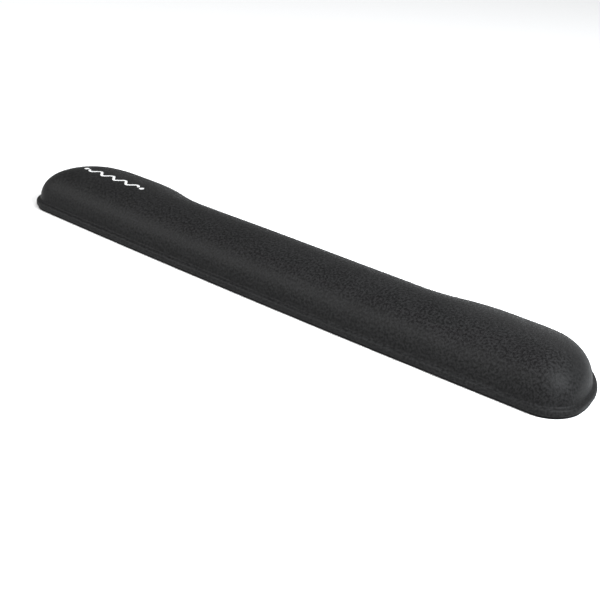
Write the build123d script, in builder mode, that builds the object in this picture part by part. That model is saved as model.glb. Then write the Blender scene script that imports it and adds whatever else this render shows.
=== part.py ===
"""Keyboard wrist rest: a foam pad on a firm board, skinned in stretch fabric, on a rubber sheet.

Millimetres, +Z up. The desk is the plane Z = 0 and the origin is the middle of the footprint on
it. X runs along the keyboard, -Y is the side that stands against the keyboard, and +Y is the
side of the person typing, where the edge is drawn in along the middle.

From the desk up, the rim is rubber, glue film, turned-under fabric hem, glue film, board and the
fabric ledge. Inside the ledge the foam pad stands on the board, under the same piece of fabric.
"""
from build123d import *
import os
from math import cos, radians

# Overall size
length = 470.0
depth = 79.5
height = 30.0

# Footprint
keyboard_bow = 2.8
keyboard_corner_radius = 21.0
wrist_corner_radius = 55.0
end_flat = 0.5
lobe_length = 77.5
bend_length = 61.0
recess_depth = 11.0

# Layers
rubber_thickness = 1.6
glue_thickness = 0.15
board_thickness = 3.3
fabric_thickness = 0.8

# Rim
rubber_setback = 1.2
hem_width = 9.0
hem_clearance = 0.3
ledge_width = 3.1
rim_top_round = 1.5
rim_under_round = 0.6

# Pad: its crest runs along X, a little towards the keyboard, and stops short of both ends
crest_setback = 38.0
crest_offset = 7.6
wall_exponent = 2.25
crown_exponent = 2.1
crown_angle = 78.0
crown_rings = 8
skin_clearance = 0.1

# Grip cups under the rubber sheet
cup_diameter = 4.0
cup_depth = 0.5
cup_pitch = 10.0
cup_margin = 5.0

# Printed mark: a plain wave between two dots, near the -X end
mark_length = 53.0
mark_waves = 4
mark_swing = 4.8
mark_stroke = 1.9
mark_dot = 3.8
mark_dot_gap = 3.6
mark_from_end = 64.5
mark_from_crest = 2.3
ink_thickness = 0.12

half_length = length / 2
keyboard_y = -depth / 2
wrist_y = depth / 2
end_corner_y = keyboard_y + keyboard_bow
recess_y = wrist_y - recess_depth
lobe_x = half_length - lobe_length
recess_x = lobe_x - bend_length
end_wall = wrist_y - end_corner_y
wrist_radius = min(wrist_corner_radius, end_wall - keyboard_corner_radius - end_flat)
crest_half_length = half_length - crest_setback

hem_under = rubber_thickness + glue_thickness
hem_top = hem_under + fabric_thickness
rebate_top = hem_top + glue_thickness
board_top = hem_under + board_thickness
ledge_top = board_top + fabric_thickness
core_under = board_top + glue_thickness
hem_inset = fabric_thickness + hem_width
skin_inset = ledge_width + fabric_thickness
core_inset = skin_inset + skin_clearance
skin_top = height - fabric_thickness
core_top = skin_top - skin_clearance


# ---------------------------------------------------------------- outlines
def outline(inset=0, share=0):
    """Return the footprint drawn in by inset, then moved that share of the way to the crest."""

    def across(y):
        return (y + crest_offset) * (1 - share) - crest_offset

    end_x = crest_half_length + (crest_setback - inset) * (1 - share)
    wrist = across(wrist_y - inset)
    middle = across(recess_y - inset)
    corner = across(end_corner_y + inset)
    with BuildSketch() as face:
        with BuildLine():
            recess = Line((0, middle), (recess_x, middle))
            bend_middle = ((recess_x + lobe_x) / 2, (middle + wrist) / 2)
            inner_bend = TangentArc(recess @ 1, bend_middle, tangent=recess % 1)
            outer_bend = TangentArc(bend_middle, (lobe_x, wrist), tangent=inner_bend % 1)
            Polyline(outer_bend @ 1, (end_x, wrist), (end_x, corner))
            mirror(about=Plane.YZ)
            ThreePointArc((-end_x, corner), (0, across(keyboard_y + inset)), (end_x, corner))
        make_face()
        fillet(face.vertices().group_by(Axis.Y)[0], radius=(keyboard_corner_radius - inset) * (1 - share))
        wrist_row = face.vertices().group_by(Axis.Y)[-1].sort_by(Axis.X)
        fillet([wrist_row[0], wrist_row[-1]], radius=(wrist_radius - inset) * (1 - share))
    return face.sketch


def rim_slab(inset, bottom, top, mode=Mode.ADD):
    """Add or cut a slab of the footprint, drawn in by inset, from bottom up to top."""
    with BuildSketch(Plane.XY.offset(bottom)) as slab:
        add(outline(inset))
    extrude(slab.sketch, amount=top - bottom, mode=mode)


def crown_height(share):
    """Return how high the pad is, from 0 at its foot to 1 at its crest, that share of the way in."""
    return (1 - (1 - share) ** crown_exponent) ** (1 / wall_exponent)


def pad_dome(inset, bottom, top, mode=Mode.ADD):
    """Add or cut the crowned pad whose foot is the footprint drawn in by inset."""
    shares = [1 - cos(radians(crown_angle * ring / crown_rings)) for ring in range(crown_rings + 1)]
    rings = []
    for share in shares:
        level = bottom + (top - bottom) * crown_height(share) / crown_height(shares[-1])
        with BuildSketch(Plane.XY.offset(level)) as ring:
            add(outline(inset, share))
        rings.append(ring.sketch)
    loft(rings, mode=mode)


# ---------------------------------------------------------------- rubber sheet
grip_field = outline(rubber_setback + cup_margin).face()
cup_columns = 2 * round(half_length / cup_pitch)
cup_rows = 2 * round(wrist_y / cup_pitch)
cup_grid = GridLocations(cup_pitch, cup_pitch, cup_columns, cup_rows)
cup_spots = [spot for spot in cup_grid if grip_field.is_inside(spot.position)]

with BuildPart() as rubber_base:
    rim_slab(rubber_setback, 0, rubber_thickness)
    with BuildSketch():
        with Locations(*cup_spots):
            Circle(cup_diameter / 2)
    extrude(amount=cup_depth, mode=Mode.SUBTRACT)

with BuildPart() as base_adhesive:
    rim_slab(rubber_setback, rubber_thickness, hem_under)

# ---------------------------------------------------------------- board
with BuildPart() as board_space:
    rim_slab(fabric_thickness, hem_top, board_top)
    fillet(board_space.edges().group_by(Axis.Z)[-1], radius=rim_top_round - fabric_thickness)

with BuildPart() as base_board:
    add(board_space.part)
    rim_slab(fabric_thickness, hem_top, rebate_top, mode=Mode.SUBTRACT)
    rim_slab(hem_inset + hem_clearance, hem_under, rebate_top)

with BuildPart() as hem_adhesive:
    rim_slab(fabric_thickness, hem_top, rebate_top)
    rim_slab(hem_inset, hem_top, rebate_top, mode=Mode.SUBTRACT)

with BuildPart() as core_adhesive:
    rim_slab(core_inset, board_top, core_under)

# ---------------------------------------------------------------- foam pad
with BuildPart() as foam_core:
    pad_dome(core_inset, core_under, core_top)

# ---------------------------------------------------------------- fabric
with BuildPart() as fabric_cover:
    rim_slab(0, hem_under, ledge_top)
    fillet(fabric_cover.edges().group_by(Axis.Z)[0], radius=rim_under_round)
    fillet(fabric_cover.edges().group_by(Axis.Z)[-1], radius=rim_top_round)
    pad_dome(ledge_width, ledge_top, height)
    add(board_space.part, mode=Mode.SUBTRACT)
    rim_slab(hem_inset, hem_under, hem_top, mode=Mode.SUBTRACT)
    pad_dome(skin_inset, board_top, skin_top, mode=Mode.SUBTRACT)

# ---------------------------------------------------------------- printed mark
mark_x = -half_length + mark_from_end
mark_y = -crest_offset + mark_from_crest
wave_step = mark_length / (2 * mark_waves)
wave_nodes = [(mark_x - mark_length / 2 + bend * wave_step, mark_y) for bend in range(2 * mark_waves + 1)]
dot_reach = mark_length / 2 + mark_dot_gap

with BuildPart() as printed_mark:
    with BuildSketch(Plane.XY.offset(height)):
        with BuildLine():
            for bend, ends in enumerate(zip(wave_nodes, wave_nodes[1:])):
                SagittaArc(*ends, sagitta=mark_swing / 2 if bend % 2 else -mark_swing / 2)
            offset(amount=mark_stroke / 2, side=Side.BOTH, mode=Mode.REPLACE)
        make_face()
        with Locations((mark_x - dot_reach, mark_y), (mark_x + dot_reach, mark_y)):
            Circle(mark_dot / 2)
    extrude(amount=ink_thickness)

pieces = {
    "rubber_base": rubber_base,
    "base_adhesive": base_adhesive,
    "base_board": base_board,
    "hem_adhesive": hem_adhesive,
    "core_adhesive": core_adhesive,
    "foam_core": foam_core,
    "fabric_cover": fabric_cover,
    "printed_mark": printed_mark,
}
os.makedirs("parts", exist_ok=True)
for name, piece in pieces.items():
    piece.part.label = name
    export_step(piece.part, f"parts/{name}.step")
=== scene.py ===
"""A keyboard wrist rest: foam under one piece of stretch knit, on a board and a rubber sheet.

Every length is in metres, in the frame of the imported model: the desk is Z = 0, X runs along the
rest, -Y is its keyboard side and +Y the side of the person typing.
"""

import logging
import math
from collections.abc import Callable
from dataclasses import dataclass, field
from enum import Enum
from functools import lru_cache

import bmesh
import bpy
import numpy as np
from mathutils import Matrix, Quaternion, Vector, noise
from mathutils.bvhtree import BVHTree


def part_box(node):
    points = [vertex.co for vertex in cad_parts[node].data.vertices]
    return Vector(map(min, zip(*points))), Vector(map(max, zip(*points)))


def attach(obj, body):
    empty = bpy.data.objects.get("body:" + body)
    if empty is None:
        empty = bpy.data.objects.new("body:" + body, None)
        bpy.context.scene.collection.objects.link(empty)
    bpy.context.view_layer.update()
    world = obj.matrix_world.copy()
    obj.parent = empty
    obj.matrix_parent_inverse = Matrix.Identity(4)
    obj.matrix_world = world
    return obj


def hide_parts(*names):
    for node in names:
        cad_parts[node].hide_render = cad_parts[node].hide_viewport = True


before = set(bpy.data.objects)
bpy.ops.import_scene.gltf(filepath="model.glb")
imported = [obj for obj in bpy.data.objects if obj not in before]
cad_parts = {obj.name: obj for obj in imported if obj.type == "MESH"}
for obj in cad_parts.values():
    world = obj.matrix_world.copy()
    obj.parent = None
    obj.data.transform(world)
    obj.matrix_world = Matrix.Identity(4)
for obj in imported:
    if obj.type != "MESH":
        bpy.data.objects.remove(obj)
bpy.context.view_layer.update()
LOG = logging.getLogger("wrist_rest")
BODY = "root"

Socket = bpy.types.NodeSocket
Place = Callable[["Spoke"], Vector]


# ---------------------------------------------------------------------------- small helpers
def smoothstep(value: float, start: float, end: float) -> float:
    """Ease from 0 at start to 1 at end.

    Args:
        value: Where to read the ease.
        start: Last value that gives 0.
        end: First value that gives 1.

    Returns:
        The eased share.
    """
    share = min(max((value - start) / (end - start), 0.0), 1.0)
    return share * share * (3 - 2 * share)


def arc(centre: tuple[float, float], radius: float, start: float, end: float, steps: int) -> list:
    """Return points along an arc, both ends included.

    Args:
        centre: Centre of the arc.
        radius: Radius of the arc.
        start: Angle of the first point, in radians.
        end: Angle of the last point, in radians.
        steps: Number of chords.

    Returns:
        The points, as pairs.
    """
    angles = [start + (end - start) * step / steps for step in range(steps + 1)]
    return [(centre[0] + radius * math.cos(a), centre[1] + radius * math.sin(a)) for a in angles]


def dress(piece: bpy.types.Object, material: bpy.types.Material) -> None:
    """Give a piece one material, in its own material slots.

    Args:
        piece: The piece, made here or packed.
        material: What it is made of.
    """
    if not piece.material_slots:
        piece.data.materials.append(material)
    for slot in piece.material_slots:
        slot.material = material


def new_piece(name: str, mesh_maker: bmesh.types.BMesh, smooth: bool = True) -> bpy.types.Object:
    """Turn a bmesh into an object in the scene.

    Args:
        name: Name of the piece.
        mesh_maker: The finished bmesh, freed here.
        smooth: Shade its faces smooth.

    Returns:
        The new object, at the origin.
    """
    mesh = bpy.data.meshes.new(name)
    for face in mesh_maker.faces:
        face.smooth = smooth
    mesh_maker.to_mesh(mesh)
    mesh_maker.free()
    piece = bpy.data.objects.new(name, mesh)
    bpy.context.scene.collection.objects.link(piece)
    return piece


def edges_among(made: list, corners: list[bmesh.types.BMVert]) -> list[bmesh.types.BMEdge]:
    """Return the edges, out of freshly made geometry, that run between those corners.

    Args:
        made: The vertices, edges and faces that an operator made.
        corners: The vertices that the edges have to run between.

    Returns:
        The edges.
    """
    ends = set(corners)
    return [item for item in made if isinstance(item, bmesh.types.BMEdge) and ends.issuperset(item.verts)]


# ---------------------------------------------------------------------------- plan shape
@dataclass(frozen=True)
class Spoke:
    """One line of the skin, from a point of the crest straight out to the rim."""

    crest_x: float
    crest_y: float
    out_x: float
    out_y: float

    def at(self, distance: float, height: float) -> Vector:
        """Return the point that far out along the spoke, at that height."""
        return Vector((self.crest_x + self.out_x * distance, self.crest_y + self.out_y * distance, height))


@dataclass(frozen=True)
class Footprint:
    """Plan outline of the rest, and the crest line that its pad rises to."""

    half_length: float
    keyboard_y: float
    wrist_y: float
    keyboard_bow: float = 0.0028
    keyboard_corner: float = 0.021
    wrist_corner: float = 0.055
    lobe_x: float = 0.1575
    recess_x: float = 0.0965
    recess_depth: float = 0.011
    crest_x: float = 0.197
    crest_y: float = -0.0076
    span_step: float = 0.0045
    end_spokes: int = 28
    arc_steps: int = 40

    @lru_cache(maxsize=64)
    def rim(self, inset: float) -> np.ndarray:
        """Return the +X half of the outline, drawn in by inset.

        Args:
            inset: How far inside the true outline to run.

        Returns:
            Points from the middle of the keyboard side round to the middle of the wrist side.
        """
        end_x = self.half_length - inset
        near_y = self.keyboard_y + inset
        far_y = self.wrist_y - inset
        middle_y = far_y - self.recess_depth
        bow_radius = (end_x**2 + self.keyboard_bow**2) / (2 * self.keyboard_bow)
        bow_centre = (0.0, near_y + bow_radius)
        near_radius = self.keyboard_corner - inset
        near_x = end_x - near_radius
        near_centre = (near_x, bow_centre[1] - math.sqrt((bow_radius - near_radius) ** 2 - near_x**2))
        touch = math.atan2(near_centre[1] - bow_centre[1], near_centre[0])
        far_radius = self.wrist_corner - inset
        turn = 2 * math.atan(self.recess_depth / (self.lobe_x - self.recess_x))
        bend = (self.lobe_x - self.recess_x) / (2 * math.sin(turn))
        quarter = math.pi / 2
        points = arc(bow_centre, bow_radius, -quarter, touch, self.arc_steps)
        points += arc(near_centre, near_radius, touch, 0, self.arc_steps)
        points += arc((end_x - far_radius, far_y - far_radius), far_radius, 0, quarter, self.arc_steps)
        points += arc((self.lobe_x, far_y - bend), bend, quarter, quarter + turn, self.arc_steps)
        points += arc((self.recess_x, middle_y + bend), bend, turn - quarter, -quarter, self.arc_steps)
        return np.array(points + [(0.0, middle_y)])

    @lru_cache(maxsize=1)
    def spokes(self) -> tuple[Spoke, ...]:
        """Return the spokes, evenly spaced along the crest and fanned out at its ends.

        Returns:
            The spokes, in order round the outline.
        """
        half_spans = round(self.crest_x / self.span_step)
        stations = [self.crest_x * step / half_spans for step in range(1 - half_spans, half_spans)]
        fan = [-math.pi / 2 + math.pi * step / self.end_spokes for step in range(self.end_spokes + 1)]
        spokes = [Spoke(x, self.crest_y, 0.0, -1.0) for x in stations]
        spokes += [Spoke(self.crest_x, self.crest_y, math.cos(a), math.sin(a)) for a in fan]
        spokes += [Spoke(x, self.crest_y, 0.0, 1.0) for x in reversed(stations)]
        spokes += [Spoke(-self.crest_x, self.crest_y, -math.cos(a), -math.sin(a)) for a in fan]
        return tuple(spokes)

    @lru_cache(maxsize=None)
    def reach(self, spoke: Spoke, inset: float) -> float:
        """Return how far a spoke runs from the crest to the outline.

        Args:
            spoke: The spoke.
            inset: How far inside the true outline to stop.

        Returns:
            The distance.
        """
        rim = self.rim(inset)
        if abs(spoke.crest_x) < self.crest_x:
            side = rim[(rim[:, 1] - self.crest_y) * spoke.out_y > 0]
            side = side[np.argsort(side[:, 0])]
            return abs(float(np.interp(abs(spoke.crest_x), side[:, 0], side[:, 1])) - self.crest_y)
        beyond = rim[rim[:, 0] > self.crest_x - self.keyboard_corner] - (self.crest_x, self.crest_y)
        turn = np.arctan2(beyond[:, 1], beyond[:, 0])
        order = np.argsort(turn)
        angle = math.atan2(spoke.out_y, spoke.out_x * math.copysign(1, spoke.crest_x))
        return float(np.interp(angle, turn[order], np.hypot(*beyond.T)[order]))


@dataclass(frozen=True)
class Crown:
    """Cross-section of the pad, from its foot on the ledge up to its crest."""

    foot_z: float
    end_z: float
    saddle: float = 0.0003
    wall_power: float = 2.25
    crown_power: float = 2.1

    def height(self, x: float, share: float, plan: Footprint) -> float:
        """Return the height of the pad.

        Args:
            x: Place along the rest.
            share: Share of the way from the foot in to the crest.
            plan: The outline, which says where the recess ends.

        Returns:
            The height above the desk.
        """
        top = self.end_z - self.saddle * (1 - smoothstep(abs(x), plan.recess_x, plan.lobe_x))
        rise = (1 - (1 - share) ** self.crown_power) ** (1 / self.wall_power)
        return self.foot_z + (top - self.foot_z) * rise


# ---------------------------------------------------------------------------- skins
class Pattern(Enum):
    """Where a finish takes its place on a piece from: the skin's flat pattern, or space."""

    SURFACE = "pattern"
    SPACE = "Object"


@dataclass
class RingSkin:
    """A skin grown ring by ring along the spokes of a footprint, by extruding its open edge."""

    plan: Footprint
    shape: bmesh.types.BMesh = field(default_factory=bmesh.new)
    rings: list[list[Vector]] = field(default_factory=list)
    open_edges: list = field(default_factory=list)

    def __post_init__(self) -> None:
        """Add the layers that number each corner's spoke and ring."""
        self.spoke_number = self.shape.verts.layers.int.new("spoke")
        self.ring_number = self.shape.verts.layers.int.new("ring")

    def grow(self, place: Place) -> None:
        """Add a ring.

        Args:
            place: Gives the point of the ring on each spoke.
        """
        spokes = self.plan.spokes()
        points = [place(spoke) for spoke in spokes]
        if not self.rings:
            made = bmesh.ops.create_circle(self.shape, segments=len(spokes), radius=self.plan.half_length)
            fresh = made["verts"]
            for number, corner in enumerate(fresh):
                corner[self.spoke_number] = number
            self.open_edges = list(self.shape.edges)
        else:
            made = bmesh.ops.extrude_edge_only(self.shape, edges=self.open_edges)["geom"]
            fresh = [item for item in made if isinstance(item, bmesh.types.BMVert)]
            self.open_edges = edges_among(made, fresh)
        for corner in fresh:
            corner[self.ring_number] = len(self.rings)
            corner.co = points[corner[self.spoke_number]]
        self.rings.append(points)

    def lay_out(self) -> None:
        """Give the skin a flat pattern: its own distances from the crest, along each spoke."""
        spokes = self.plan.spokes()
        points = np.array(self.rings)[::-1]
        steps = np.linalg.norm(np.diff(points, axis=0), axis=2)
        run = np.vstack([np.zeros(len(spokes)), np.cumsum(steps, axis=0)])[::-1]
        pattern = self.shape.loops.layers.uv.new(Pattern.SURFACE.value)
        for face in self.shape.faces:
            for loop in face.loops:
                number = loop.vert[self.spoke_number]
                flat = spokes[number].at(float(run[loop.vert[self.ring_number]][number]), 0)
                loop[pattern].uv = flat.xy

    def close(self, merge: float = 0.00002) -> None:
        """Join what meets along the crest and turn every face outwards.

        Args:
            merge: How near two corners are that become one.
        """
        bmesh.ops.remove_doubles(self.shape, verts=list(self.shape.verts), dist=merge)
        bmesh.ops.recalc_face_normals(self.shape, faces=list(self.shape.faces))
        highest = max(self.shape.faces, key=lambda face: face.calc_center_median().z)
        if highest.normal.z < 0:
            bmesh.ops.reverse_faces(self.shape, faces=list(self.shape.faces))


@dataclass(frozen=True)
class Wander:
    """A small smooth unevenness, as hand work and moulded foam leave it."""

    most: float
    reach: float
    seed: float

    def at(self, point: Vector) -> float:
        """Return how far to move a point, from about -most to most."""
        return self.most * noise.noise(Vector((point.x / self.reach, point.y / self.reach, self.seed)))


@dataclass
class KnitCover:
    """The fabric: pad skin, ledge, rim and turned-under hem, in one stretched sheet.

    The hem, rim and ledge are glued down, and wander a little as a hand-turned edge does. The pad's
    skin starts slack, a little under the crown, and is then pressed out against the rim's hold.
    """

    plan: Footprint
    crown: Crown
    hem_z: float
    hem_width: float = 0.0098
    hem_shares: tuple[float, ...] = (1.0, 0.8, 0.55, 0.3)
    thickness: float = 0.0008
    ledge_width: float = 0.0031
    ledge_firm_share: float = 0.6
    top_round: float = 0.0017
    top_steps: int = 5
    under_round: float = 0.0009
    under_steps: int = 4
    crease_round: float = 0.0013
    crease_steps: int = 3
    pad_rings: int = 22
    first_share: float = 0.006
    slack: float = 0.0001
    slack_share: float = 0.2
    rim_wander: Wander = Wander(0.00026, 0.021, 3.1)
    ledge_wander: Wander = Wander(0.0002, 0.017, 8.7)
    pad_wander: Wander = Wander(0.00018, 0.045, 5.3)
    pad_wander_shares: tuple[float, float] = (0.02, 0.3)
    most_swell: float = 0.0009
    press_frames: int = 20
    pressure: float = 7.0
    stretch_stiffness: float = 40.0
    bend_stiffness: float = 2.0

    def rim_stations(self) -> list[tuple[float, float]]:
        """Return the rim's section, from the hem's inner edge to the pad's foot.

        Returns:
            Pairs of inset and height.
        """
        quarter = math.pi / 2
        under = (self.under_round, self.hem_z + self.under_round)
        over = (self.top_round, self.crown.foot_z - self.top_round)
        section = [(self.hem_width * share, self.hem_z) for share in self.hem_shares]
        section += arc(under, self.under_round, -quarter, -2 * quarter, self.under_steps)
        section += [(0.0, (under[1] + over[1]) / 2)]
        section += arc(over, self.top_round, 2 * quarter, quarter, self.top_steps)
        crease = (self.ledge_width - self.crease_round, self.crown.foot_z + self.crease_round)
        section += arc(crease, self.crease_round, -quarter, 0, self.crease_steps)
        return section

    def rim_point(self, spoke: Spoke, inset: float, height: float) -> Vector:
        """Return a point of the rim, with the slight wander of a hand-turned hem.

        Args:
            spoke: The spoke that the point is on.
            inset: How far inside the outline it is.
            height: How high above the desk it is.

        Returns:
            The point.
        """
        point = spoke.at(self.plan.reach(spoke, inset), height)
        rim_share = 1 - smoothstep(inset, self.ledge_width * self.ledge_firm_share, self.ledge_width)
        out = Vector((spoke.out_x, spoke.out_y, 0))
        point += out * (self.rim_wander.at(point) * rim_share)
        lift = smoothstep(height, self.hem_z, self.crown.foot_z)
        point.z += self.ledge_wander.at(point) * rim_share * lift
        return point

    def pad_point(self, spoke: Spoke, share: float) -> Vector:
        """Return a point of the pad's skin before it is pressed out.

        Args:
            spoke: The spoke that the point is on.
            share: Share of the way from the pad's foot in to the crest.

        Returns:
            The point.
        """
        reach = self.plan.reach(spoke, self.ledge_width) * (1 - share)
        point = spoke.at(reach, 0)
        point.z = self.crown.height(point.x, share, self.plan)
        point.z -= self.slack * smoothstep(share, 0.0, self.slack_share)
        point.z += self.pad_wander.at(point) * smoothstep(share, *self.pad_wander_shares)
        return point

    def build(self) -> bpy.types.Object:
        """Grow the sheet from the hem to the crest, press it out and thicken it.

        Returns:
            The finished cover.
        """
        skin = RingSkin(self.plan)
        for inset, height in self.rim_stations():
            skin.grow(lambda spoke, i=inset, z=height: self.rim_point(spoke, i, z))
        held_rings = len(skin.rings)
        for ring in range(self.pad_rings + 1):
            share = 1 - math.cos(math.pi / 2 * ring / self.pad_rings)
            if share > self.first_share:
                skin.grow(lambda spoke, s=share: self.pad_point(spoke, s))
        skin.lay_out()
        skin.close()
        ring_of = [corner[skin.ring_number] for corner in skin.shape.verts]
        piece = new_piece("knit_cover", skin.shape)
        self.press_out(piece, ring_of, held_rings)
        subdivide(piece)
        wall = piece.modifiers.new("cloth_thickness", "SOLIDIFY")
        wall.thickness = self.thickness
        wall.offset = -1
        return piece

    def press_out(self, piece: bpy.types.Object, ring_of: list[int], held_rings: int) -> None:
        """Blow the skin out a little as cloth held at the rim, and keep the shape it takes.

        Args:
            piece: The cover, changed in place.
            ring_of: The ring that each of its corners is on.
            held_rings: How many rings from the hem on are glued down.
        """
        trial = piece.copy()
        trial.data = piece.data.copy()
        bpy.context.scene.collection.objects.link(trial)
        held = trial.vertex_groups.new(name="held")
        held.add([number for number, ring in enumerate(ring_of) if ring < held_rings], 1.0, "REPLACE")
        cloth = trial.modifiers.new("cloth", "CLOTH")
        cloth.settings.vertex_group_mass = held.name
        cloth.settings.use_pressure = True
        cloth.settings.uniform_pressure_force = self.pressure
        cloth.settings.effector_weights.gravity = 0
        cloth.settings.tension_stiffness = self.stretch_stiffness
        cloth.settings.compression_stiffness = self.stretch_stiffness
        cloth.settings.bending_stiffness = self.bend_stiffness
        cloth.point_cache.frame_start = 1
        cloth.point_cache.frame_end = self.press_frames
        scene = bpy.context.scene
        for number in range(1, self.press_frames + 1):
            scene.frame_set(number)
        pressed = trial.evaluated_get(bpy.context.evaluated_depsgraph_get()).data
        moves = [
            (pressed.vertices[corner.index].co - corner.co).dot(corner.normal)
            for corner in piece.data.vertices
        ]
        most, mean = max(moves) * 1000, np.mean(moves) * 1000
        LOG.info("%s: pressed out by %.2f mm at most, %.2f mm on average", piece.name, most, mean)
        moves = self.evened(piece.data, [min(max(move, 0.0), self.most_swell) for move in moves])
        for corner, move in zip(piece.data.vertices, moves):
            if ring_of[corner.index] >= held_rings:
                corner.co += corner.normal * move
        scene.frame_set(1)
        bpy.data.objects.remove(trial)

    def evened(self, mesh: bpy.types.Mesh, moves: list[float], passes: int = 4) -> list[float]:
        """Return the moves, each averaged with its neighbours' a few times over.

        Args:
            mesh: The mesh whose edges say which corners are neighbours.
            moves: One move for each corner.
            passes: How many times to average.

        Returns:
            The evened moves.
        """
        ends = np.array([edge.vertices[:] for edge in mesh.edges])
        count = np.bincount(ends.ravel(), minlength=len(moves))
        values = np.array(moves)
        for _ in range(passes):
            total = np.bincount(ends[:, 0], values[ends[:, 1]], len(moves))
            total += np.bincount(ends[:, 1], values[ends[:, 0]], len(moves))
            values = (values + total / count) / 2
        return values.tolist()


def subdivide(piece: bpy.types.Object, levels: int = 1) -> None:
    """Round a piece off with a subdivision surface, the same in every view.

    Args:
        piece: The piece.
        levels: How many times its faces are divided.
    """
    rounder = piece.modifiers.new("rounding", "SUBSURF")
    rounder.levels = levels
    rounder.render_levels = levels


@dataclass
class FoamPad:
    """The moulded foam under the cover: the same crown, just inside it, on a flat underside."""

    plan: Footprint
    crown: Crown
    under_z: float
    foot_inset: float = 0.0041
    foot_round: float = 0.0006
    skin_gap: float = 0.0012
    skin_gap_share: float = 0.02
    pad_rings: int = 16
    under_shares: tuple[float, ...] = (1.0, 0.75, 0.5, 0.25, 0.08)

    def foot(self, spoke: Spoke) -> float:
        """Return how far out along a spoke the foam's foot is."""
        return self.plan.reach(spoke, self.foot_inset)

    def point(self, spoke: Spoke, share: float) -> Vector:
        """Return a point of the crowned side.

        Args:
            spoke: The spoke that the point is on.
            share: Share of the way from the foot in to the crest.

        Returns:
            The point.
        """
        point = spoke.at(self.foot(spoke) * (1 - share), 0)
        full = self.crown.height(point.x, share, self.plan)
        point.z = max(full - self.skin_gap * smoothstep(share, 0.0, self.skin_gap_share), self.under_z)
        return point

    def build(self) -> bpy.types.Object:
        """Grow the pad from the middle of its underside, round its foot and up to its crest.

        Returns:
            The finished pad.
        """
        skin = RingSkin(self.plan)
        for share in self.under_shares:
            skin.grow(lambda spoke, s=share: spoke.at(self.foot(spoke) * (1 - s), self.under_z))
        skin.grow(lambda spoke: spoke.at(self.foot(spoke) - self.foot_round, self.under_z))
        skin.grow(lambda spoke: spoke.at(self.foot(spoke), self.under_z + self.foot_round))
        for ring in range(1, self.pad_rings + 1):
            share = 1 - math.cos(math.pi / 2 * ring / self.pad_rings)
            skin.grow(lambda spoke, s=share: self.point(spoke, s))
        skin.lay_out()
        skin.close()
        piece = new_piece("foam_pad", skin.shape)
        subdivide(piece)
        return piece


@dataclass
class PrintedMark:
    """A plain printed wave between two dots, lying on the cover."""

    low: Vector
    high: Vector
    ground: BVHTree
    waves: int = 4
    swing: float = 0.0048
    stroke: float = 0.0019
    dot: float = 0.0038
    dot_gap: float = 0.0036
    ink: float = 0.00008
    wave_steps: int = 20
    strip_sides: tuple[float, ...] = (-1.0, -0.33, 0.33, 1.0)
    dot_segments: int = 24
    dot_ring_share: float = 0.125

    def landed(self, x: float, y: float) -> Vector:
        """Return the point of the cover straight below a place."""
        hit = self.ground.ray_cast(Vector((x, y, 1.0)), Vector((0, 0, -1)))
        return hit[0] + hit[1] * self.ink

    def wave_line(self) -> list[tuple[Vector, Vector]]:
        """Return the wave's middle line.

        Returns:
            Pairs of a point and the direction across the line there.
        """
        middle = (self.low + self.high) / 2
        half = (self.high.x - self.low.x) / 2 - self.dot / 2 - self.dot_gap
        steps = 2 * self.waves * self.wave_steps
        line = []
        for step in range(steps + 1):
            turn = 2 * math.pi * self.waves * step / steps
            along = middle.x - half + 2 * half * step / steps
            slope = -self.swing / 2 * math.cos(turn) * 2 * math.pi * self.waves / (2 * half)
            across = Vector((-slope, 1)).normalized()
            line.append((Vector((along, middle.y - self.swing / 2 * math.sin(turn))), across))
        return line

    def draw_wave(self, shape: bmesh.types.BMesh) -> None:
        """Extrude a row of corners along the wave's middle line, as wide as the stroke.

        Args:
            shape: The bmesh to draw in.
        """
        side_of = shape.verts.layers.float.new("side")
        line = self.wave_line()
        row = [shape.verts.new() for _ in self.strip_sides]
        for corner, side in zip(row, self.strip_sides):
            corner[side_of] = side * self.stroke / 2
        edges = [shape.edges.new(pair) for pair in zip(row, row[1:])]
        for number, (point, across) in enumerate(line):
            if number:
                made = bmesh.ops.extrude_edge_only(shape, edges=edges)["geom"]
                row = [item for item in made if isinstance(item, bmesh.types.BMVert)]
                edges = edges_among(made, row)
            for corner in row:
                corner.co = (*(point + across * corner[side_of]), 0)

    def draw_dots(self, shape: bmesh.types.BMesh) -> None:
        """Add a round dot beyond each end of the wave, with a ring of faces round its rim.

        Args:
            shape: The bmesh to draw in.
        """
        middle_y = (self.low.y + self.high.y) / 2
        for x in (self.low.x + self.dot / 2, self.high.x - self.dot / 2):
            bmesh.ops.create_circle(
                shape,
                cap_ends=True,
                segments=self.dot_segments,
                radius=self.dot / 2,
                matrix=Matrix.Translation((x, middle_y, 0)),
            )
        flats = [face for face in shape.faces if len(face.verts) == self.dot_segments]
        bmesh.ops.inset_region(shape, faces=flats, thickness=self.dot * self.dot_ring_share)

    def build(self) -> bpy.types.Object:
        """Draw the wave and its dots, drop them onto the cover and give them the ink's thickness.

        Returns:
            The finished mark.
        """
        shape = bmesh.new()
        self.draw_wave(shape)
        self.draw_dots(shape)
        for corner in shape.verts:
            corner.co = self.landed(corner.co.x, corner.co.y)
        for face in shape.faces:
            face.normal_update()
            if face.normal.z < 0:
                face.normal_flip()
        piece = new_piece("wave_print", shape)
        wall = piece.modifiers.new("ink_thickness", "SOLIDIFY")
        wall.thickness = self.ink * 2
        wall.offset = -1
        return piece


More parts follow.
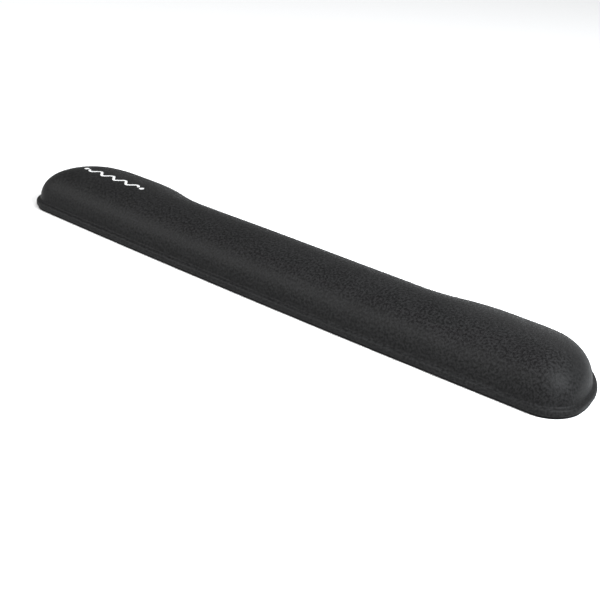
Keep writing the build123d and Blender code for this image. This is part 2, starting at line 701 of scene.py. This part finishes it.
# ---------------------------------------------------------------------------- finishes
@dataclass
class Wiring:
    """Adds nodes to a tree and joins them up."""

    tree: bpy.types.NodeTree

    def node(self, kind: str, **settings: object) -> bpy.types.Node:
        """Add a node.

        Args:
            kind: Its type.
            **settings: Values for its properties, by name.

        Returns:
            The node.
        """
        made = self.tree.nodes.new(kind)
        for name, value in settings.items():
            setattr(made, name, value)
        return made

    def feed(self, socket: Socket, value: "Socket | float | tuple") -> None:
        """Link a socket to another, or set its value.

        Args:
            socket: The input that is fed.
            value: The output that feeds it, or its value.
        """
        if isinstance(value, bpy.types.NodeSocket):
            self.tree.links.new(value, socket)
        else:
            socket.default_value = value

    def maths(self, operation: str, *values: "Socket | float", clamp: bool = False) -> Socket:
        """Add a sum on numbers.

        Args:
            operation: What it does with them.
            *values: The numbers, in order.
            clamp: Keep the result between 0 and 1.

        Returns:
            The result.
        """
        made = self.node("ShaderNodeMath", operation=operation, use_clamp=clamp)
        for socket, value in zip(made.inputs, values):
            self.feed(socket, value)
        return made.outputs[0]

    def scaled(self, vector: Socket, scale: "tuple[float, float, float] | Socket") -> Socket:
        """Multiply a vector by another, part by part.

        Args:
            vector: The vector.
            scale: The one that it is multiplied by.

        Returns:
            The product.
        """
        made = self.node("ShaderNodeVectorMath", operation="MULTIPLY")
        self.feed(made.inputs[0], vector)
        self.feed(made.inputs[1], scale)
        return made.outputs[0]

    def blotches(self, vector: Socket, scale: "float | Socket", detail: float, rough: float) -> Socket:
        """Add soft noise.

        Args:
            vector: Where to read it.
            scale: How many blotches there are to a metre.
            detail: How many finer layers lie over them.
            rough: How strong the finer layers are.

        Returns:
            The noise, about 0.5 on average.
        """
        made = self.node("ShaderNodeTexNoise")
        for name, value in (("Vector", vector), ("Scale", scale), ("Detail", detail), ("Roughness", rough)):
            self.feed(made.inputs[name], value)
        return made.outputs["Fac"]

    def cells(self, vector: Socket, scale: "float | Socket") -> Socket:
        """Add a field of cells.

        Args:
            vector: Where to read it.
            scale: How many cells there are to a metre.

        Returns:
            The distance to the middle of the nearest cell.
        """
        made = self.node("ShaderNodeTexVoronoi")
        self.feed(made.inputs["Vector"], vector)
        self.feed(made.inputs["Scale"], scale)
        return made.outputs["Distance"]

    def span(self, value: Socket, low: float, high: float, start: float = 0, end: float = 1) -> Socket:
        """Ease a value from one span to another.

        Args:
            value: The value.
            low: Where the ease starts.
            high: Where it ends.
            start: The result at low and below.
            end: The result at high and above.

        Returns:
            The eased value.
        """
        made = self.node("ShaderNodeMapRange", interpolation_type="SMOOTHSTEP")
        for socket, number in zip(made.inputs, (value, low, high, start, end)):
            self.feed(socket, number)
        return made.outputs[0]

    def mixed(self, share: Socket, first: "tuple | Socket", second: "tuple | Socket") -> Socket:
        """Mix two colours.

        Args:
            share: Share of the second one.
            first: The first colour.
            second: The second colour.

        Returns:
            The mixed colour.
        """
        made = self.node("ShaderNodeMix", data_type="RGBA")
        self.feed(made.inputs["Factor"], share)
        self.feed(made.inputs[6], first)
        self.feed(made.inputs[7], second)
        return made.outputs[2]

    def group(self, tree: bpy.types.NodeTree, **inputs: "Socket | float") -> bpy.types.Node:
        """Place a node group.

        Args:
            tree: The group.
            **inputs: What feeds its inputs, by name, with _ for a space.

        Returns:
            The node that holds it.
        """
        made = self.node("ShaderNodeGroup", node_tree=tree)
        for name, value in inputs.items():
            self.feed(made.inputs[name.replace("_", " ")], value)
        return made


def new_group(name: str, inputs: dict[str, str], outputs: dict[str, str]) -> tuple[Wiring, dict, dict]:
    """Start a shader node group.

    Args:
        name: Name of the group.
        inputs: Socket type of each input, by name.
        outputs: Socket type of each output, by name.

    Returns:
        The wiring of the group, its inputs' sockets, and its outputs' sockets.
    """
    tree = bpy.data.node_groups.new(name, "ShaderNodeTree")
    for label, kind in inputs.items():
        tree.interface.new_socket(label, in_out="INPUT", socket_type=kind)
    for label, kind in outputs.items():
        tree.interface.new_socket(label, in_out="OUTPUT", socket_type=kind)
    entry, leave = tree.nodes.new("NodeGroupInput"), tree.nodes.new("NodeGroupOutput")
    return Wiring(tree), {s.name: s for s in entry.outputs}, {s.name: s for s in leave.inputs}


FLOAT, VECTOR = "NodeSocketFloat", "NodeSocketVector"


@lru_cache(maxsize=None)
def grain_group() -> bpy.types.NodeTree:
    """Build the grain group: fine soft noise, and broad soft noise by its share.

    Returns:
        The group. Its mask is about 0.5 on average, and its height is the fine noise.
    """
    mask_span = (0.36, 0.64)
    wiring, take, give = new_group(
        "fine_grain",
        {"Vector": VECTOR, "Grain": FLOAT, "Patch": FLOAT, "Patch Share": FLOAT},
        {"Mask": FLOAT, "Height": FLOAT},
    )
    fine = wiring.blotches(take["Vector"], take["Grain"], detail=3, rough=0.6)
    broad = wiring.blotches(take["Vector"], take["Patch"], detail=2, rough=0.5)
    patchy = wiring.maths("MULTIPLY", wiring.maths("SUBTRACT", broad, fine), take["Patch Share"])
    wiring.feed(give["Mask"], wiring.span(wiring.maths("ADD", fine, patchy), *mask_span))
    wiring.feed(give["Height"], fine)
    return wiring.tree


@lru_cache(maxsize=None)
def lint_group() -> bpy.types.NodeTree:
    """Build the lint group: specks and short hairs that gather in patches.

    Returns:
        The group, with the lint as its mask.
    """
    hair_stretch = (1.0, 0.22, 1.0)
    speck_edge = (0.05, 0.11)
    patch_scale = 23.0
    patch_edge = (0.56, 0.7)
    inputs = {"Vector": VECTOR, "Specks": FLOAT, "Amount": FLOAT}
    wiring, take, give = new_group("lint", inputs, {"Mask": FLOAT})
    stretched = wiring.scaled(take["Vector"], hair_stretch)
    speck = wiring.cells(stretched, take["Specks"])
    near = wiring.span(speck, *speck_edge, start=1, end=0)
    broad = wiring.blotches(take["Vector"], patch_scale, detail=2, rough=0.5)
    gathered = wiring.maths("MULTIPLY", near, wiring.span(broad, *patch_edge))
    wiring.feed(give["Mask"], wiring.maths("MULTIPLY", gathered, take["Amount"]))
    return wiring.tree


@lru_cache(maxsize=None)
def knit_group() -> bpy.types.NodeTree:
    """Build the plain-knit group: stitches with two slanted legs to each wale.

    Returns:
        The group, with the stitches' height from 0 to 1 and a mask of painted shade in the gaps between
        them.
    """
    wobble_scale, wobble_wales = 260.0, 0.35
    leg_middle = 0.25
    leg_slant = 1.6
    stitch_swell = 0.28
    painted_gap_shade_heights = (0.05, 0.45)
    inputs = {"Vector": VECTOR, "Wale": FLOAT, "Course": FLOAT}
    wiring, take, give = new_group("plain_knit", inputs, {"Height": FLOAT, "Painted Gap Shade": FLOAT})
    parts = wiring.node("ShaderNodeSeparateXYZ")
    wiring.feed(parts.inputs[0], take["Vector"])
    uneven = wiring.blotches(take["Vector"], wobble_scale, detail=2, rough=0.5)
    wobble = wiring.maths("MULTIPLY", uneven, wobble_wales)
    across = wiring.maths("ADD", wiring.maths("DIVIDE", parts.outputs["Y"], take["Wale"]), wobble)
    along = wiring.maths("DIVIDE", parts.outputs["X"], take["Course"])
    centred = wiring.maths("ABSOLUTE", wiring.maths("SUBTRACT", wiring.maths("FRACT", across), 0.5))
    off_leg = wiring.maths("ABSOLUTE", wiring.maths("SUBTRACT", centred, leg_middle))
    fall = wiring.maths("MULTIPLY", wiring.maths("MULTIPLY", off_leg, off_leg), leg_middle**-2)
    leg = wiring.maths("SUBTRACT", 1.0, fall)
    slanted = wiring.maths("ADD", along, wiring.maths("MULTIPLY", centred, leg_slant))
    wave = wiring.maths("COSINE", wiring.maths("MULTIPLY", slanted, 2 * math.pi))
    swell = wiring.maths("ADD", wiring.maths("MULTIPLY", wave, stitch_swell), 1 - stitch_swell)
    height = wiring.maths("MULTIPLY", leg, swell, clamp=True)
    wiring.feed(give["Height"], height)
    # Painted shade mask: strongest where the stitches' height is lowest, in the gaps between them.
    wiring.feed(give["Painted Gap Shade"], wiring.span(height, *painted_gap_shade_heights, start=1, end=0))
    return wiring.tree


@dataclass(frozen=True)
class Finish:
    """What every finish shares: a colour, its shader's fixed numbers, and a grain."""

    name: str
    colour: tuple[float, float, float]
    roughness: float
    pattern: Pattern = Pattern.SPACE
    shader: tuple[tuple[str, float], ...] = ()
    grain: float = 1500.0
    grain_shades: tuple[float, float] = (0.82, 1.18)
    grain_roughness: tuple[float, float] = (-0.07, 0.07)
    patch: float = 45.0
    patch_share: float = 0.45
    relief: float = 0.5

    def start(self) -> tuple[bpy.types.Material, Wiring, bpy.types.Node, Socket]:
        """Start a material with the finish's fixed numbers.

        Returns:
            The material, its wiring, its shader and its pattern's coordinates.
        """
        material = bpy.data.materials.new(self.name)
        material.use_nodes = True
        wiring = Wiring(material.node_tree)
        shader = material.node_tree.nodes["Principled BSDF"]
        shader.inputs["Roughness"].default_value = self.roughness
        for name, value in self.shader:
            shader.inputs[name].default_value = value
        if self.pattern is Pattern.SURFACE:
            place = wiring.node("ShaderNodeUVMap", uv_map=self.pattern.value).outputs[0]
        else:
            place = wiring.node("ShaderNodeTexCoord").outputs[self.pattern.value]
        return material, wiring, shader, place

    def shade(self, factor: float) -> tuple[float, float, float, float]:
        """Return the finish's colour, lighter or darker."""
        return (*(min(channel * factor, 1.0) for channel in self.colour), 1.0)

    def grained(self, wiring: Wiring, place: Socket) -> tuple[bpy.types.Node, Socket]:
        """Add the finish's grain.

        Args:
            wiring: The material's wiring.
            place: The pattern's coordinates.

        Returns:
            The grain's node, and the finish's colour with the grain in it.
        """
        low, high = (self.shade(factor) for factor in self.grain_shades)
        scales = {"Grain": self.grain, "Patch": self.patch, "Patch_Share": self.patch_share}
        grain = wiring.group(grain_group(), Vector=place, **scales)
        return grain, wiring.mixed(grain.outputs["Mask"], low, high)

    def roughen(self, wiring: Wiring, shader: bpy.types.Node, mask: Socket) -> None:
        """Let the shader's roughness follow the grain.

        Args:
            wiring: The material's wiring.
            shader: The material's shader.
            mask: The grain's mask.
        """
        smoother, rougher = (self.roughness + change for change in self.grain_roughness)
        wiring.feed(shader.inputs["Roughness"], wiring.span(mask, 0, 1, smoother, rougher))

    def bump(self, wiring: Wiring, shader: bpy.types.Node, height: Socket, depth: float) -> None:
        """Lead a height into the shader's normal.

        Args:
            wiring: The material's wiring.
            shader: The material's shader.
            height: The height.
            depth: How deep a height of 1 is.
        """
        made = wiring.node("ShaderNodeBump")
        made.inputs["Strength"].default_value = self.relief
        made.inputs["Distance"].default_value = depth
        wiring.feed(made.inputs["Height"], height)
        wiring.feed(shader.inputs["Normal"], made.outputs[0])


@dataclass(frozen=True)
class KnitFinish(Finish):
    """Fine stretch knit with a soft nap and a little lint, and painted shade in the gaps between its
    stitches.
    """

    wale: float = 0.00052
    course: float = 0.00044
    stitch_depth: float = 0.00003
    grain: float = 620.0
    grain_shades: tuple[float, float] = (0.4, 1.6)
    grain_roughness: tuple[float, float] = (-0.05, 0.06)
    patch: float = 38.0
    patch_share: float = 0.12
    relief: float = 0.6
    painted_gap_shade_strength: float = 0.5
    painted_gap_shade_factor: float = 0.45
    nap: float = 8.0
    lint_scale: float = 210.0
    lint_amount: float = 0.35
    lint_colour: tuple[float, float, float] = (0.06, 0.06, 0.062)

    def material(self) -> bpy.types.Material:
        """Build the material.

        Returns:
            The material.
        """
        material, wiring, shader, place = self.start()
        knit = wiring.group(knit_group(), Vector=place, Wale=self.wale, Course=self.course)
        lint = wiring.group(lint_group(), Vector=place, Specks=self.lint_scale, Amount=self.lint_amount)
        grain, cloth = self.grained(wiring, place)
        # Painted shade: the cloth's colour is darkened in the gaps between stitches, where the knit lies
        # lowest.
        painted_gap_shade_mask = wiring.maths("MULTIPLY", knit.outputs["Painted Gap Shade"], self.painted_gap_shade_strength)
        cloth = wiring.mixed(painted_gap_shade_mask, cloth, self.shade(self.painted_gap_shade_factor))
        cloth = wiring.mixed(lint.outputs["Mask"], cloth, (*self.lint_colour, 1))
        wiring.feed(shader.inputs["Base Color"], cloth)
        self.roughen(wiring, shader, grain.outputs["Mask"])
        nap = wiring.maths("MULTIPLY", grain.outputs["Height"], self.nap)
        height = wiring.maths("ADD", knit.outputs["Height"], nap)
        self.bump(wiring, shader, height, self.stitch_depth)
        return material


@dataclass(frozen=True)
class FoamFinish(Finish):
    """Moulded open-cell foam with a skin of small pore holes, each darkened with painted shade."""

    grain: float = 420.0
    grain_shades: tuple[float, float] = (0.85, 1.15)
    patch: float = 30.0
    relief: float = 0.6
    pore: float = 900.0
    pore_edge: tuple[float, float] = (0.1, 0.42)
    pore_depth: float = 0.0003
    painted_pore_shade: float = 0.5

    def material(self) -> bpy.types.Material:
        """Build the material.

        Returns:
            The material.
        """
        material, wiring, shader, place = self.start()
        _, foam = self.grained(wiring, place)
        pore_relief_and_painted_shade = wiring.span(wiring.cells(place, self.pore), *self.pore_edge)
        # Painted shade: the colour darkens towards the middle of each pore hole, where the bump sinks
        # deepest.
        wiring.feed(shader.inputs["Base Color"], wiring.mixed(pore_relief_and_painted_shade, self.shade(self.painted_pore_shade), foam))
        self.bump(wiring, shader, pore_relief_and_painted_shade, self.pore_depth)
        return material


@dataclass(frozen=True)
class SheetFinish(Finish):
    """A sheet of rubber, board or glue: fine texture, slight patches and settled dust."""

    depth: float = 0.00008
    dust: float = 0.3
    dust_scale: float = 160.0
    dust_lets_through: float = 0.6
    dust_brightness: float = 0.05

    def material(self) -> bpy.types.Material:
        """Build the material.

        Returns:
            The material.
        """
        material, wiring, shader, place = self.start()
        grain, sheet = self.grained(wiring, place)
        lint = wiring.group(lint_group(), Vector=place, Specks=self.dust_scale, Amount=self.dust)
        dusty = (self.dust_lets_through * channel + self.dust_brightness for channel in self.colour)
        wiring.feed(shader.inputs["Base Color"], wiring.mixed(lint.outputs["Mask"], sheet, (*dusty, 1)))
        self.roughen(wiring, shader, grain.outputs["Mask"])
        self.bump(wiring, shader, grain.outputs["Height"], self.depth)
        return material


@dataclass(frozen=True)
class InkFinish(Finish):
    """Screen print, a little uneven where the knit takes it up."""

    grain: float = 2200.0
    grain_shades: tuple[float, float] = (0.86, 1.05)
    patch: float = 160.0
    depth: float = 0.00005

    def material(self) -> bpy.types.Material:
        """Build the material.

        Returns:
            The material.
        """
        material, wiring, shader, place = self.start()
        grain, ink = self.grained(wiring, place)
        wiring.feed(shader.inputs["Base Color"], ink)
        self.bump(wiring, shader, grain.outputs["Height"], self.depth)
        return material


KNIT = KnitFinish(
    "black_knit",
    (0.0088, 0.0088, 0.0089),
    0.51,
    Pattern.SURFACE,
    (("Specular IOR Level", 0.058),),
)
FOAM = FoamFinish("grey_foam", (0.16, 0.16, 0.17), 0.95, Pattern.SURFACE, (("Specular IOR Level", 0.2),))
RUBBER = SheetFinish("black_rubber", (0.007, 0.007, 0.0072), 0.65, shader=(("Specular IOR Level", 0.08),))
BOARD = SheetFinish("black_board", (0.05, 0.05, 0.054), 0.5, grain=900.0, dust=0.1)
GLUE = SheetFinish("glue_film", (0.72, 0.66, 0.5), 0.35, grain=300.0, dust=0.0)
INK = InkFinish("white_ink", (0.56, 0.56, 0.555), 0.55)


# ---------------------------------------------------------------------------- studio
def direction(azimuth: float, elevation: float) -> Vector:
    """Return the unit vector from the rest to a place round it.

    Args:
        azimuth: Degrees round from the keyboard side, towards +X.
        elevation: Degrees up from the floor.

    Returns:
        The unit vector.
    """
    turn, lift = math.radians(azimuth), math.radians(elevation)
    return Vector((math.sin(turn) * math.cos(lift), -math.cos(turn) * math.cos(lift), math.sin(lift)))


@dataclass(frozen=True)
class Lamp:
    """A soft square light that faces the rest."""

    name: str
    azimuth: float
    elevation: float
    power: float
    colour: tuple[float, float, float] = (1.0, 1.0, 1.0)
    size: float = 1.15
    distance: float = 3.0

    def hang(self, target: Vector) -> None:
        """Add the light to the scene, turned to the target.

        Args:
            target: The point that it faces.
        """
        data = bpy.data.lights.new(self.name, "AREA")
        data.shape = "SQUARE"
        data.size = self.size
        data.energy = self.power
        data.color = self.colour
        light = bpy.data.objects.new(self.name, data)
        away = direction(self.azimuth, self.elevation)
        light.location = target + away * self.distance
        light.rotation_euler = away.to_track_quat("Z", "Y").to_euler()
        bpy.context.scene.collection.objects.link(light)


@dataclass(frozen=True)
class Studio:
    """Pale floor, plain soft light and the camera."""

    azimuth: float = 41.2
    elevation: float = 24.56
    roll: float = 2.15
    distance: float = 0.8977
    lens: float = 83.0
    nearest: float = 0.01
    target: tuple[float, float, float] = (0.0231, -0.01555, 0.0)
    floor_size: float = 16.0
    floor_cells: int = 8
    floor_shade: float = 0.74
    floor_roughness: float = 0.9
    floor_gloss: float = 0.1
    sky: float = 0.4
    lamps: tuple[Lamp, ...] = (
        Lamp("front_left", -47, 31, 86.0),
        Lamp("overhead", 60, 62, 10.5, size=0.6, distance=1.4),
        Lamp("right", 92, 44, 21.0, (0.93, 0.965, 1.0), size=0.4, distance=1.0),
        Lamp("behind", 196, 14, 5.0),
    )

    def lay_floor(self) -> None:
        """Add the floor."""
        shape = bmesh.new()
        cells = self.floor_cells
        bmesh.ops.create_grid(shape, x_segments=cells, y_segments=cells, size=self.floor_size / 2)
        floor = new_piece("studio_floor", shape, smooth=False)
        material = bpy.data.materials.new("pale_floor")
        material.use_nodes = True
        shader = material.node_tree.nodes["Principled BSDF"]
        shader.inputs["Base Color"].default_value = (self.floor_shade, self.floor_shade, self.floor_shade, 1)
        shader.inputs["Roughness"].default_value = self.floor_roughness
        shader.inputs["Specular IOR Level"].default_value = self.floor_gloss
        dress(floor, material)

    def light(self) -> None:
        """Add the sky and the lamps."""
        world = bpy.data.worlds.new("soft_sky")
        world.use_nodes = True
        sky = world.node_tree.nodes["Background"]
        sky.inputs["Color"].default_value = (1, 1, 1, 1)
        sky.inputs["Strength"].default_value = self.sky
        bpy.context.scene.world = world
        for lamp in self.lamps:
            lamp.hang(Vector(self.target))

    def aim(self) -> None:
        """Add the camera."""
        back = direction(self.azimuth, self.elevation)
        data = bpy.data.cameras.new("studio_camera")
        data.lens = self.lens
        data.clip_start = self.nearest
        camera = bpy.data.objects.new("studio_camera", data)
        camera.rotation_mode = "QUATERNION"
        camera.location = Vector(self.target) + back * self.distance
        turn = Quaternion((0, 0, 1), math.radians(self.roll))
        camera.rotation_quaternion = (-back).to_track_quat("-Z", "Y") @ turn
        bpy.context.scene.collection.objects.link(camera)
        bpy.context.scene.camera = camera


# ---------------------------------------------------------------------------- the rest
@dataclass
class WristRest:
    """The whole rest: the pieces made here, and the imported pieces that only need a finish."""

    plan: Footprint
    crown: Crown

    def cover(self) -> bpy.types.Object:
        """Make the fabric cover.

        Returns:
            The cover.
        """
        low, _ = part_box("fabric_cover")
        cover = KnitCover(self.plan, self.crown, low.z).build()
        dress(cover, KNIT.material())
        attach(cover, BODY)
        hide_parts("fabric_cover")
        return cover

    def foam(self) -> bpy.types.Object:
        """Make the foam pad.

        Returns:
            The pad.
        """
        low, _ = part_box("foam_core")
        foam = FoamPad(self.plan, self.crown, low.z).build()
        dress(foam, FOAM.material())
        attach(foam, BODY)
        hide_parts("foam_core")
        return foam

    def mark(self, cover: bpy.types.Object) -> bpy.types.Object:
        """Make the printed mark.

        Args:
            cover: The finished cover, which it lies on.

        Returns:
            The mark.
        """
        ground = BVHTree.FromObject(cover, bpy.context.evaluated_depsgraph_get())
        mark = PrintedMark(*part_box("printed_mark"), ground).build()
        dress(mark, INK.material())
        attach(mark, BODY)
        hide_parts("printed_mark")
        return mark

    def packed_pieces(self) -> list[bpy.types.Object]:
        """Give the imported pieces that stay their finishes.

        Returns:
            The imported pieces.
        """
        glue = GLUE.material()
        finishes = {
            "rubber_base": RUBBER.material(),
            "base_board": BOARD.material(),
            "base_adhesive": glue,
            "hem_adhesive": glue,
            "core_adhesive": glue,
        }
        for name, material in finishes.items():
            dress(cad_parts[name], material)
        return [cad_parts[name] for name in finishes]


def report(piece: bpy.types.Object) -> None:
    """Log a piece's name, finish and number of faces."""
    LOG.info("%s: %s, %d faces", piece.name, piece.active_material.name, len(piece.data.polygons))


def main() -> None:
    """Build the rest and its studio."""
    logging.basicConfig(level=logging.INFO, format="%(name)s: %(message)s")
    bpy.context.scene.view_settings.view_transform = "Standard"
    low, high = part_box("fabric_cover")
    plan = Footprint(high.x, low.y, high.y)
    _, board_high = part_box("base_board")
    crown = Crown(foot_z=board_high.z + KnitCover.thickness, end_z=high.z)
    rest = WristRest(plan, crown)
    report(rest.foam())
    cover = rest.cover()
    report(cover)
    report(rest.mark(cover))
    for piece in rest.packed_pieces():
        report(piece)
    studio = Studio()
    studio.lay_floor()
    studio.light()
    studio.aim()


if __name__ == "__main__":
    main()
